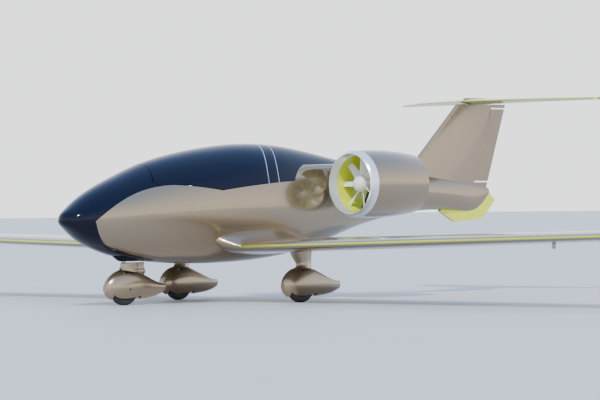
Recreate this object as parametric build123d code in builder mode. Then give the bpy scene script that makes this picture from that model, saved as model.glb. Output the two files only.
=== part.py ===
from build123d import *
from math import cos, radians, sin, tan
import os

# Electric airplane: two seats, low wing, T tail, two ducted fans, fixed gear.
# Millimetres, nose towards -Y, port wing towards +X, Z up from the ground.
# A station is the distance aft of the nose tip.

os.makedirs("parts", exist_ok=True)
SIDES = (("port", 1), ("starboard", -1))

# Overall sizes, the length from the nose tip to the tailplane's trailing edge
TAIL_ROOT_LE = 5800.0
TAIL_ROOT_CHORD = 800.0
LENGTH = TAIL_ROOT_LE + TAIL_ROOT_CHORD
SEMI_SPAN = 5800.0
MOVING_GAP = 6.0
PIN_CLEARANCE = 0.3
CUT_REACH = 1500.0

# Fuselage: station, half width, height of the widest line, top, bottom
NOSE_HEIGHT = 895.0
HULL_SECTIONS = (
    (20.0, 78.0, 894.0, 957.0, 846.0),
    (90.0, 160.0, 897.0, 1012.0, 793.0),
    (230.0, 250.0, 905.0, 1108.0, 690.0),
    (440.0, 345.0, 920.0, 1226.0, 588.0),
    (720.0, 430.0, 940.0, 1347.0, 506.0),
    (1070.0, 505.0, 960.0, 1477.0, 454.0),
    (1480.0, 560.0, 980.0, 1580.0, 426.0),
    (1950.0, 593.0, 1000.0, 1655.0, 416.0),
    (2450.0, 600.0, 1010.0, 1693.0, 430.0),
    (2970.0, 530.0, 1020.0, 1669.0, 483.0),
    (3500.0, 410.0, 1050.0, 1585.0, 590.0),
    (4050.0, 290.0, 1100.0, 1487.0, 757.0),
    (4620.0, 200.0, 1140.0, 1412.0, 880.0),
    (5200.0, 145.0, 1150.0, 1345.0, 948.0),
    (5780.0, 85.0, 1110.0, 1268.0, 932.0),
    (6245.0, 25.0, 1157.0, 1195.0, 1118.0),
)
SKIN = 18.0
HOLLOW_FROM = 340.0
HOLLOW_TO = 5600.0
BOOM_JOINT = 3050.0
FAR_ABOVE = 2600.0
FAR_AFT = LENGTH + 200.0

# Panel lines of the fuselage, as station and height
SIDE_TIP = (250.0, 882.0)
SHOULDER_LINE = (560.0, 1100.0)
HUMP_TOP = (1150.0, 1248.0)
HUMP_SHOULDER = (1450.0, 1225.0)
SILL_LOW = (1725.0, 1187.0)
SILL_MIDDLE = (2240.0, 1245.0)
SILL_AFT = (2780.0, 1283.0)
STEP_MIDDLE = (2889.0, 1393.0)
STEP_TOP = (3036.0, 1460.0)
ROOF_END = (3900.0, 1475.0)
CHIN_FRONT = (330.0, 728.0)
CHIN_MIDDLE = (564.0, 594.0)
CHIN_AFT = (800.0, 528.0)
CHIN_END = (1110.0, 478.0)
CANOPY_SEAM_TOP = (2640.0, 1720.0)
CANOPY_SEAM_MIDDLE = (2450.0, 1500.0)
CANOPY_SEAM_SILL = (2372.0, 1258.0)

# Canopy hinge
CANOPY_PIVOT = (880.0, 1190.0)
CANOPY_SEAM_ANGLE = 60.0
CANOPY_ARM_X = 300.0
CANOPY_ARM_THICK = 14.0
CANOPY_ARM_WIDTH = 44.0
CANOPY_ARM_BEND = 1110.0
CANOPY_ARM_TOPS = (1370.0, 1383.0)
CANOPY_CORNER_R = 110.0
HINGE_TUBE_R = 10.0

# Cabin
FLOOR_TOP = 530.0
FLOOR_THICK = 18.0
FLOOR_FROM = 1000.0
FLOOR_TO = 3000.0
PANEL_STATION = 1210.0
PANEL_THICK = 30.0
PANEL_BOTTOM = 860.0
PANEL_TOP = 1200.0
SEAT_X = 215.0
SEAT_WIDTH = 390.0
SEAT_FRONT = 1900.0
SEAT_LENGTH = 480.0
SEAT_HEIGHT = 230.0
SEAT_RAKE = 60.0
SEAT_BACK_TOP = (2720.0, 1240.0)
SEAT_BACK_THICK = 110.0
STICK_X = 235.0
STICK_STATION = 1640.0
STICK_R = 14.0
STICK_HEIGHT = 360.0
BATTERY_FROM = 400.0
BATTERY_TO = 860.0
BATTERY_WIDTH = 520.0
BATTERY_BOTTOM = 640.0
BATTERY_TOP = 1010.0

# Wing: two sections and the tip cap
WING_ROOT_X = 300.0
WING_TIP_X = 5700.0
WING_ROOT_LE = 1830.0
WING_TIP_LE = 2057.0
WING_ROOT_CHORD = 1200.0
WING_TIP_CHORD = 800.0
WING_THICKNESS = 0.13
WING_CENTRE_HEIGHT = 582.0
DIHEDRAL = 1.21
TIP_CAP_SHARE = 0.82
TIP_CAP_THIN = 0.45
CROWN_SHARE = 0.35
AFT_FULLNESS = 0.72
EDGE_THICK = 4.0
HINGE_SHARE = 0.76
FLAP_SPAN = (720.0, 3080.0)
AILERON_SPAN = (3110.0, 5480.0)
SURFACE_END_GAP = 12.0
HINGE_PIN_R = 6.0
HINGE_PIN_DEPTH = 30.0
HINGE_CHORD_REACH = 500.0

# Tie-down lugs
LUG_X = 4800.0
LUG_STATION = 2260.0
LUG_THICK = 10.0
LUG_WIDTH = 44.0
LUG_BELOW = 88.0
LUG_HOLE_R = 8.0

# Ducted fans
DUCT_X = 800.0
DUCT_HEIGHT = 1245.0
DUCT_FRONT = 3314.0
DUCT_REAR = 4204.0
LIP_LENGTH = 100.0
DUCT_R = 367.0
LIP_R = 340.0
LIP_FOOT_R = 360.0
REAR_R = 320.0
NACELLE_WALL = 12.0
BORE_R = 305.0
LINER_THICK = 8.0
LIP_BORE_R = 322.0
LIP_ROUND = 28.0
LIP_BULGE = 9.0
CREST_STATION = 3580.0
FAN_STATION = 3524.0
BLADE_COUNT = 8
BLADE_GAP = 5.0
BLADE_ROOT_CHORD = 95.0
BLADE_TIP_CHORD = 60.0
BLADE_ROOT_ANGLE = 35.0
BLADE_TIP_ANGLE = 62.0
BLADE_THICK = 9.0
HUB_R = 88.0
HUB_LENGTH = 70.0
SPINNER_LENGTH = 95.0
POD_GAP = 8.0
POD_LENGTH = 280.0
POD_TAIL = 170.0
POD_TAIL_R = 24.0
VANE_COUNT = 6
VANE_THICK = 10.0
VANE_CHORD = 110.0
VANE_OFFSET = 60.0
SHAFT_R = 15.0
SHAFT_DEPTH = 60.0
PYLON_FROM = 3500.0
PYLON_CHORD = 560.0
PYLON_THICK = 90.0
PYLON_ROOT_X = 200.0
PYLON_TIP_X = 475.0

# Fin, rudder, tailplane
FIN_LE_LOW = (5106.0, 1543.0)
FIN_LE_HIGH = (5747.0, 2156.0)
FIN_TE_HIGH = (6547.0, 2151.0)
FIN_TE_LOW = (6216.0, 1190.0)
FIN_LE_SLOPE = (FIN_LE_HIGH[0] - FIN_LE_LOW[0]) / (FIN_LE_HIGH[1] - FIN_LE_LOW[1])
FIN_TE_SLOPE = (FIN_TE_HIGH[0] - FIN_TE_LOW[0]) / (FIN_TE_HIGH[1] - FIN_TE_LOW[1])
FIN_BOTTOM = 1120.0
FIN_THICK_LOW = 84.0
FIN_THICK_HIGH = 62.0
RUDDER_CHORD = 230.0
RUDDER_FOOT = 1262.0
RUDDER_HEAD_RIB = 36.0
RUDDER_END_GAP = 14.0
RUDDER_SWING_ROOM = 130.0
TAIL_HEIGHT = 2185.0
TAIL_HALF_SPAN = 1547.0
TAIL_TIP_LE = 6376.0
TAIL_MIDDLE_X = 900.0
TAIL_MIDDLE_LE = 6000.0
TAIL_THICK = 62.0
TAIL_TIP_THICK = 30.0
ELEVATOR_CHORD = 190.0
ELEVATOR_HALF_SPAN = 1420.0
CAP_LE = 5840.0
CAP_TOP = 2227.0
CAP_CHORD = 420.0
CAP_THICK = 46.0
CAP_RAKE = 40.0
ELEVATOR_NOSE_R = 22.0
ELEVATOR_TIP_R = 11.0

# Tail bumper, as station and height
BUMPER_OUTLINE = (
    (5452.0, 936.0),
    (5674.0, 816.0),
    (6043.0, 833.0),
    (6152.0, 861.0),
    (6341.0, 1054.0),
    (6247.0, 1144.0),
    (6000.0, 1100.0),
    (5500.0, 1000.0),
)
BUMPER_THICK = 44.0
TAIL_TIE_STATION = 5900.0
TAIL_TIE_HEIGHT = 880.0

# Landing gear
MAIN_X = 995.0
MAIN_STATION = 2404.0
NOSE_STATION = 819.0
TYRE_R = 165.0
TYRE_WIDTH = 110.0
RIM_R = 88.0
RIM_WIDTH = 92.0
AXLE_R = 12.0
AXLE_BORE_R = 6.0
AXLE_HALF = 96.0
TOW_HOLE_HALF = 130.0
WELL_GAP = 16.0
SPAT_WALL = 12.0
# Spat: distance aft of the axle, half width, widest height, top, bottom
MAIN_SPAT = (
    (-250.0, 30.0, 185.0, 225.0, 130.0),
    (-150.0, 98.0, 185.0, 335.0, 50.0),
    (60.0, 112.0, 190.0, 374.0, 44.0),
    (300.0, 84.0, 190.0, 300.0, 70.0),
    (560.0, 20.0, 185.0, 215.0, 140.0),
)
NOSE_SPAT = (
    (-255.0, 30.0, 185.0, 225.0, 130.0),
    (-150.0, 98.0, 185.0, 335.0, 50.0),
    (60.0, 112.0, 190.0, 374.0, 44.0),
    (300.0, 84.0, 190.0, 300.0, 70.0),
    (555.0, 20.0, 185.0, 215.0, 140.0),
)
SPAT_FLOOR = 62.0
LEG_FOOT = 348.0
# Leg: distance of its nose aft of the axle, chord, thickness, height
MAIN_LEG_LOW = (-40.0, 210.0, 46.0, LEG_FOOT)
MAIN_LEG_HIGH = (-135.0, 280.0, 70.0, 600.0)
NOSE_LEG_LOW = (-30.0, 200.0, 50.0, LEG_FOOT)
NOSE_LEG_HIGH = (-60.0, 190.0, 60.0, 455.0)
STEER_TUBE_R = 24.0
STEER_TUBE_TOP = 600.0
STEER_COLLAR_R = 62.0
STEER_COLLAR_FOOT = 464.0
HUB_HALF = 34.0
HUB_OUTER_R = 26.0
RIM_WALL = 10.0
WEB_THICK = 16.0
TYRE_ROUNDING = 0.46


def write(piece, name):
    """Label a piece and write its file."""
    piece.label = name
    export_step(piece, "parts/" + name + ".step")


def aft(station):
    """Y of a station."""
    return station - LENGTH / 2


def side_point(place):
    """A station and a height as a point of the side view."""
    return (aft(place[0]), place[1])


def across(y):
    """Plane across the fuselage, seen from the front."""
    return Plane(origin=(0, y, 0), x_dir=(1, 0, 0), z_dir=(0, -1, 0))


def along(x):
    """Plane along the fuselage, with Y to the right and Z up."""
    return Plane(origin=(x, 0, 0), x_dir=(0, 1, 0), z_dir=(1, 0, 0))


def egg(half_width, widest, top, bottom):
    """Section of two half ellipses that meet at the widest line."""
    with BuildSketch() as section:
        with BuildLine():
            EllipticalCenterArc((0, widest), half_width, top - widest, 0, arc_size=180)
            EllipticalCenterArc((0, widest), half_width, widest - bottom, 180, arc_size=180)
        make_face()
    return section.sketch


def aerofoil(nose, height, chord, thickness):
    """Symmetric section with a round nose and a thin square trailing edge."""
    half = thickness / 2
    crown = nose + CROWN_SHARE * chord
    tail = nose + chord
    edge = EDGE_THICK / 2
    middle = (crown + tail) / 2
    bulge = edge + (half - edge) * AFT_FULLNESS
    with BuildSketch() as section:
        with BuildLine():
            EllipticalCenterArc((crown, height), crown - nose, half, 90, arc_size=90)
            EllipticalCenterArc((crown, height), crown - nose, half, 180, arc_size=90)
            ThreePointArc((crown, height - half), (middle, height - bulge), (tail, height - edge))
            Line((tail, height - edge), (tail, height + edge))
            ThreePointArc((tail, height + edge), (middle, height + bulge), (crown, height + half))
        make_face()
    return section.sketch


def wing_at(x):
    """Leading edge station, height and chord of the wing at a distance from the middle."""
    share = (x - WING_ROOT_X) / (WING_TIP_X - WING_ROOT_X)
    nose = WING_ROOT_LE + share * (WING_TIP_LE - WING_ROOT_LE)
    chord = WING_ROOT_CHORD + share * (WING_TIP_CHORD - WING_ROOT_CHORD)
    height = WING_CENTRE_HEIGHT + x * tan(radians(DIHEDRAL))
    return nose, height, chord


def wing_hinge(x):
    """Y and height of the hinge line of flap and aileron, and half the thickness there."""
    nose, height, chord = wing_at(x)
    half = WING_THICKNESS * chord / 2
    share = (HINGE_SHARE - CROWN_SHARE) / (1 - CROWN_SHARE)
    return aft(nose + HINGE_SHARE * chord), height, half * (1 - share**1.8)


def fin_edges(height):
    """Stations of the fin's leading edge and the rudder's trailing edge at a height."""
    lead = FIN_LE_LOW[0] + (height - FIN_LE_LOW[1]) * FIN_LE_SLOPE
    trail = FIN_TE_LOW[0] + (height - FIN_TE_LOW[1]) * FIN_TE_SLOPE
    return lead, trail


def fin_thickness(height):
    """Thickness of the fin at a height."""
    share = (height - FIN_BOTTOM) / (FIN_LE_HIGH[1] - FIN_BOTTOM)
    return FIN_THICK_LOW + share * (FIN_THICK_HIGH - FIN_THICK_LOW)


def level(height):
    """Level plane with Y to the right."""
    return Plane(origin=(0, 0, height), x_dir=(0, 1, 0), z_dir=(0, 0, 1))


def lofted(places):
    """Straight-sided form between sections, each given as plane and face."""
    with BuildPart() as form:
        for plane, face in places:
            with BuildSketch(plane):
                add(face)
        loft(ruled=True)
    return form.part


def round_bar(first, last):
    """Round bar between two points, each given with its radius."""
    axis = last[0] - first[0]
    start = Plane(origin=first[0], z_dir=axis)
    end = Plane(origin=last[0], x_dir=start.x_dir, z_dir=axis)
    with BuildPart() as bar:
        with BuildSketch(start):
            Circle(first[1])
        with BuildSketch(end):
            Circle(last[1])
        loft(ruled=True)
    return bar.part


def hinge_point(plane, y, height):
    """Point of a hinge line where it crosses a plane."""
    return plane.from_local_coords((y, height, 0))


def hinged(form, stations, gap_end, chord_reach):
    """Split a form at a hinge line into its fixed and its moving piece.

    Each of the two stations is a plane, and the hinge line's place and radius on it.
    """
    (first_plane, first_y, first_z, first_r), (last_plane, last_y, last_z, last_r) = stations
    first = hinge_point(first_plane, first_y, first_z)
    last = hinge_point(last_plane, last_y, last_z)
    way = (last - first).normalized()

    def aft_slab(grow):
        with BuildPart() as slab:
            for plane, y, z, sign in (
                (first_plane, first_y, first_z, 1),
                (last_plane, last_y, last_z, -1),
            ):
                with BuildSketch(plane.offset(sign * grow * plane_way)):
                    with Locations((y + chord_reach / 2, z)):
                        Rectangle(chord_reach, chord_reach)
            loft(ruled=True)
        return slab.part

    plane_way = 1 if way.dot(first_plane.z_dir) > 0 else -1
    room = aft_slab(0) + round_bar(
        (first, first_r + MOVING_GAP), (last, last_r + MOVING_GAP)
    )
    inner_first = first + way * gap_end
    inner_last = last - way * gap_end
    inner = aft_slab(gap_end) + round_bar((inner_first, first_r), (inner_last, last_r))
    reach = gap_end + HINGE_PIN_DEPTH
    hole_reach = reach + gap_end
    fixed = form - room
    moving = form & inner
    for end, out in ((first, way), (last, -way)):
        pin = round_bar((end - out * gap_end, HINGE_PIN_R), (end + out * reach, HINGE_PIN_R))
        hole_r = HINGE_PIN_R + PIN_CLEARANCE
        hole = round_bar((end - out, hole_r), (end + out * hole_reach, hole_r))
        fixed = fixed + pin
        moving = moving - hole
    return fixed, moving


# Outer and inner form of the fuselage
with BuildPart() as hull:
    for station, half_width, widest, top, bottom in HULL_SECTIONS:
        with BuildSketch(across(aft(station))):
            add(egg(half_width, widest, top, bottom))
    sections = hull.pending_faces[:]
    hull.pending_faces.clear()
    loft([Vertex(0, aft(0), NOSE_HEIGHT)] + sections)

with BuildPart() as cavity:
    for station, half_width, widest, top, bottom in HULL_SECTIONS:
        with BuildSketch(across(aft(station))):
            add(egg(half_width - SKIN, widest, top - SKIN, bottom + SKIN))
    loft()
    with BuildSketch(across(aft(HOLLOW_TO))):
        Rectangle(2 * CUT_REACH, 2 * FAR_ABOVE)
    extrude(amount=HOLLOW_TO - HOLLOW_FROM, mode=Mode.INTERSECT)

with BuildPart() as skin:
    add(hull.part)
    add(cavity.part, mode=Mode.SUBTRACT)

# Side view of the coloured lower body
with BuildSketch() as lower_view:
    with BuildLine():
        ThreePointArc(side_point(SIDE_TIP), side_point(SHOULDER_LINE), side_point(HUMP_TOP))
        ThreePointArc(side_point(HUMP_TOP), side_point(HUMP_SHOULDER), side_point(SILL_LOW))
        ThreePointArc(side_point(SILL_LOW), side_point(SILL_MIDDLE), side_point(SILL_AFT))
        ThreePointArc(side_point(SILL_AFT), side_point(STEP_MIDDLE), side_point(STEP_TOP))
        Polyline(
            side_point(STEP_TOP),
            side_point(ROOF_END),
            (aft(ROOF_END[0]), FAR_ABOVE),
            (aft(FAR_AFT), FAR_ABOVE),
            (aft(FAR_AFT), 0),
            (aft(CHIN_END[0]), 0),
            side_point(CHIN_END),
        )
        ThreePointArc(side_point(CHIN_END), side_point(CHIN_AFT), side_point(CHIN_MIDDLE))
        ThreePointArc(side_point(CHIN_MIDDLE), side_point(CHIN_FRONT), side_point(SIDE_TIP))
    make_face()

# Side view of the canopy's opening: its front seam lies on a line through the hinge
seam_run = (FAR_ABOVE - CANOPY_PIVOT[1]) / tan(radians(CANOPY_SEAM_ANGLE))
with BuildSketch() as canopy_view:
    with BuildLine():
        Polyline(
            side_point(CANOPY_SEAM_SILL),
            (aft(CANOPY_SEAM_SILL[0]), CANOPY_PIVOT[1] - SKIN),
            side_point((CANOPY_PIVOT[0], CANOPY_PIVOT[1] - SKIN)),
            side_point(CANOPY_PIVOT),
            (aft(CANOPY_PIVOT[0] + seam_run), FAR_ABOVE),
            (aft(CANOPY_SEAM_TOP[0]), FAR_ABOVE),
            side_point(CANOPY_SEAM_TOP),
        )
        ThreePointArc(
            side_point(CANOPY_SEAM_TOP),
            side_point(CANOPY_SEAM_MIDDLE),
            side_point(CANOPY_SEAM_SILL),
        )
    make_face()
    add(lower_view.sketch, mode=Mode.SUBTRACT)
    with Locations(side_point(CANOPY_PIVOT)):
        Circle(CANOPY_CORNER_R, mode=Mode.SUBTRACT)

with BuildPart() as lower_region:
    with BuildSketch(along(-CUT_REACH)):
        add(lower_view.sketch)
    extrude(amount=2 * CUT_REACH)

with BuildPart() as canopy_region:
    with BuildSketch(along(-CUT_REACH)):
        add(canopy_view.sketch)
    extrude(amount=2 * CUT_REACH)

# Tube across the nose that the canopy turns on
with BuildPart() as hinge_tube:
    with BuildSketch(along(-CUT_REACH)):
        with Locations(side_point(CANOPY_PIVOT)):
            Circle(HINGE_TUBE_R)
    extrude(amount=2 * CUT_REACH)
    add(hull.part, mode=Mode.INTERSECT)

# Lower body of the fuselage, and the tail boom that is joined to it behind the cabin
with BuildPart() as boom_space:
    with BuildSketch(across(aft(FAR_AFT))):
        Rectangle(2 * CUT_REACH, 2 * FAR_ABOVE)
    extrude(amount=FAR_AFT - BOOM_JOINT)

with BuildPart() as lower_body:
    add(skin.part)
    add(lower_region.part, mode=Mode.INTERSECT)

with BuildPart() as fuselage_shell:
    add(lower_body.part)
    add(boom_space.part, mode=Mode.SUBTRACT)
    add(hinge_tube.part)
write(fuselage_shell.part, "fuselage_shell")

with BuildPart() as tail_boom:
    add(lower_body.part)
    add(boom_space.part, mode=Mode.INTERSECT)
write(tail_boom.part, "tail_boom")

# Dark panels above it: nose cowl ahead of the canopy, roof behind it
upper_panels = (skin.part - lower_region.part - canopy_region.part).solids().sort_by(Axis.Y)

with BuildPart() as nose_cowl:
    add(upper_panels[0])
    with BuildSketch(level(STEER_COLLAR_FOOT)):
        with Locations((aft(NOSE_STATION), 0)):
            Circle(STEER_COLLAR_R)
    extrude(amount=STEER_TUBE_TOP - STEER_COLLAR_FOOT)
    add(cavity.part, mode=Mode.SUBTRACT)
    add(fuselage_shell.part, mode=Mode.SUBTRACT)
    with BuildSketch(level(0)):
        with Locations((aft(NOSE_STATION), 0)):
            Circle(STEER_TUBE_R + PIN_CLEARANCE)
    extrude(amount=STEER_TUBE_TOP, mode=Mode.SUBTRACT)
write(nose_cowl.part, "nose_cowl")

with BuildPart() as rear_roof:
    add(upper_panels[-1])
write(rear_roof.part, "rear_roof")

# Room that the nose cowl's rear edge needs as the canopy turns about its hinge
pivot = (0, aft(CANOPY_PIVOT[0]), CANOPY_PIVOT[1])
seam_angle = radians(CANOPY_SEAM_ANGLE)
seam_plane = Plane(origin=pivot, x_dir=(1, 0, 0), z_dir=(0, -sin(seam_angle), cos(seam_angle)))
seam_outline = section(hull.part, section_by=seam_plane)
seam_reach = (seam_outline.bounding_box().max.Z - CANOPY_PIVOT[1]) / sin(seam_angle)
seam_growth = 1 + MOVING_GAP / seam_reach
with BuildSketch(seam_plane) as seam_face:
    add(scale(seam_plane.to_local_coords(seam_outline), by=seam_growth))
    with Locations((0, CUT_REACH / 2)):
        Rectangle(2 * CUT_REACH, CUT_REACH, mode=Mode.INTERSECT)

with BuildPart() as seam_room:
    add(seam_face.sketch)
    revolve(axis=Axis(pivot, (1, 0, 0)), revolution_arc=-CANOPY_SEAM_ANGLE)

# Canopy: the opening's form less a running gap, with two bent arms down to the hinge tube
with BuildPart() as canopy:
    add(skin.part)
    with BuildSketch(along(-CUT_REACH)):
        add(canopy_view.sketch)
        offset(amount=-MOVING_GAP, kind=Kind.INTERSECTION, mode=Mode.REPLACE)
    extrude(amount=2 * CUT_REACH, mode=Mode.INTERSECT)
    add(seam_room.part, mode=Mode.SUBTRACT)

arm_half = CANOPY_ARM_WIDTH / 2
with BuildPart() as canopy_arms:
    for side, sign in SIDES:
        with BuildSketch(along(sign * CANOPY_ARM_X - CANOPY_ARM_THICK / 2)):
            with BuildLine():
                Polyline(
                    side_point(CANOPY_PIVOT),
                    side_point((CANOPY_PIVOT[0], CANOPY_PIVOT[1] + arm_half)),
                    side_point((CANOPY_ARM_BEND - arm_half, CANOPY_PIVOT[1] + arm_half)),
                    side_point((CANOPY_ARM_BEND - arm_half, CANOPY_ARM_TOPS[0])),
                    side_point((CANOPY_ARM_BEND + arm_half, CANOPY_ARM_TOPS[1])),
                    side_point((CANOPY_ARM_BEND + arm_half, CANOPY_PIVOT[1] - arm_half)),
                    side_point((CANOPY_PIVOT[0], CANOPY_PIVOT[1] - arm_half)),
                    close=True,
                )
            make_face()
            with Locations(side_point(CANOPY_PIVOT)):
                Circle(arm_half)
                Circle(HINGE_TUBE_R + PIN_CLEARANCE, mode=Mode.SUBTRACT)
        extrude(amount=CANOPY_ARM_THICK)

with BuildPart() as canopy_whole:
    add(canopy.part)
    add(canopy_arms.part)
write(canopy_whole.part, "canopy")

# Cabin: floor, instrument panel, seats, sticks, and the battery in the nose
with BuildPart() as cabin_floor:
    with BuildSketch(level(FLOOR_TOP - FLOOR_THICK)):
        with Locations((aft((FLOOR_FROM + FLOOR_TO) / 2), 0)):
            Rectangle(FLOOR_TO - FLOOR_FROM, 2 * CUT_REACH)
    extrude(amount=FLOOR_THICK)
    add(cavity.part, mode=Mode.INTERSECT)
write(cabin_floor.part, "cabin_floor")

with BuildPart() as instrument_panel:
    with BuildSketch(across(aft(PANEL_STATION))):
        with Locations((0, (PANEL_BOTTOM + PANEL_TOP) / 2)):
            Rectangle(2 * CUT_REACH, PANEL_TOP - PANEL_BOTTOM)
    extrude(amount=PANEL_THICK)
    add(cavity.part, mode=Mode.INTERSECT)
write(instrument_panel.part, "instrument_panel")

seat_rear = SEAT_FRONT + SEAT_LENGTH
with BuildPart() as seats:
    for side, sign in SIDES:
        with BuildSketch(along(sign * SEAT_X - SEAT_WIDTH / 2)):
            with BuildLine():
                Polyline(
                    (aft(SEAT_FRONT), FLOOR_TOP),
                    (aft(SEAT_FRONT), FLOOR_TOP + SEAT_HEIGHT),
                    (aft(seat_rear), FLOOR_TOP + SEAT_HEIGHT - SEAT_RAKE),
                    side_point(SEAT_BACK_TOP),
                    (aft(SEAT_BACK_TOP[0] + SEAT_BACK_THICK), SEAT_BACK_TOP[1]),
                    (aft(seat_rear + SEAT_BACK_THICK), FLOOR_TOP),
                    close=True,
                )
            make_face()
        extrude(amount=SEAT_WIDTH)
    add(cavity.part, mode=Mode.INTERSECT)
write(seats.part, "seats")

with BuildPart() as control_sticks:
    with BuildSketch(level(FLOOR_TOP)):
        with Locations(*((aft(STICK_STATION), sign * STICK_X) for side, sign in SIDES)):
            Circle(STICK_R)
    extrude(amount=STICK_HEIGHT)
write(control_sticks.part, "control_sticks")

with BuildPart() as battery_pack:
    with BuildSketch(level(BATTERY_BOTTOM)):
        with Locations((aft((BATTERY_FROM + BATTERY_TO) / 2), 0)):
            Rectangle(BATTERY_TO - BATTERY_FROM, BATTERY_WIDTH)
    extrude(amount=BATTERY_TOP - BATTERY_BOTTOM)
    add(cavity.part, mode=Mode.INTERSECT)
write(battery_pack.part, "battery_pack")

# Wings with flaps and ailerons
cap_share = (SEMI_SPAN - WING_ROOT_X) / (WING_TIP_X - WING_ROOT_X)
wings = {}
for side, sign in SIDES:
    faces = []
    for x in (WING_ROOT_X, WING_TIP_X):
        nose, height, chord = wing_at(x)
        section = aerofoil(aft(nose), height, chord, WING_THICKNESS * chord)
        faces.append((along(sign * x), section))
    nose, height, chord = wing_at(SEMI_SPAN)
    cap_chord = chord * TIP_CAP_SHARE
    cap_nose = nose + (chord - cap_chord) * 0.7
    cap = aerofoil(aft(cap_nose), height, cap_chord, WING_THICKNESS * chord * TIP_CAP_THIN)
    faces.append((along(sign * SEMI_SPAN), cap))
    form = lofted(faces)
    for name, span in (("flap", FLAP_SPAN), ("aileron", AILERON_SPAN)):
        ends = [(along(sign * x),) + wing_hinge(x) for x in span]
        form, moving = hinged(form, ends, SURFACE_END_GAP, HINGE_CHORD_REACH)
        write(moving, name + "_" + side)
    lug_height = wing_at(LUG_X)[1]
    with BuildPart() as wing:
        add(form)
        add(hull.part, mode=Mode.SUBTRACT)
        with BuildSketch(along(sign * LUG_X - LUG_THICK / 2)):
            with Locations((aft(LUG_STATION), lug_height - LUG_BELOW)):
                Circle(LUG_WIDTH / 2)
            with Locations((aft(LUG_STATION), lug_height - LUG_BELOW / 2)):
                Rectangle(LUG_WIDTH, LUG_BELOW)
        extrude(amount=LUG_THICK)
        with BuildSketch(along(sign * LUG_X - LUG_THICK)):
            with Locations((aft(LUG_STATION), lug_height - LUG_BELOW)):
                Circle(LUG_HOLE_R)
        extrude(amount=2 * LUG_THICK, mode=Mode.SUBTRACT)
    wings[side] = wing.part
    write(wing.part, "wing_" + side)

# Ducted fans: nacelle, lip, liner, motor pod with vanes, fan, pylon
lip_foot = DUCT_FRONT + LIP_LENGTH
liner_r = BORE_R + LINER_THICK
hub_front = FAN_STATION - HUB_LENGTH / 2
hub_rear = FAN_STATION + HUB_LENGTH / 2
pod_front = hub_rear + POD_GAP
pod_rear = pod_front + POD_LENGTH

with BuildPart() as blade:
    for radius, chord, angle in (
        (HUB_R * 0.8, BLADE_ROOT_CHORD, BLADE_ROOT_ANGLE),
        (BORE_R, BLADE_TIP_CHORD, BLADE_TIP_ANGLE),
    ):
        with BuildSketch(Plane.YZ.offset(radius)):
            Rectangle(chord, BLADE_THICK, rotation=90 - angle)
    loft(ruled=True)

with BuildPart() as vane:
    with BuildSketch(Plane.YZ.offset(HUB_R * 0.8)):
        Rectangle(VANE_THICK, VANE_CHORD)
    extrude(amount=BORE_R)

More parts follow.
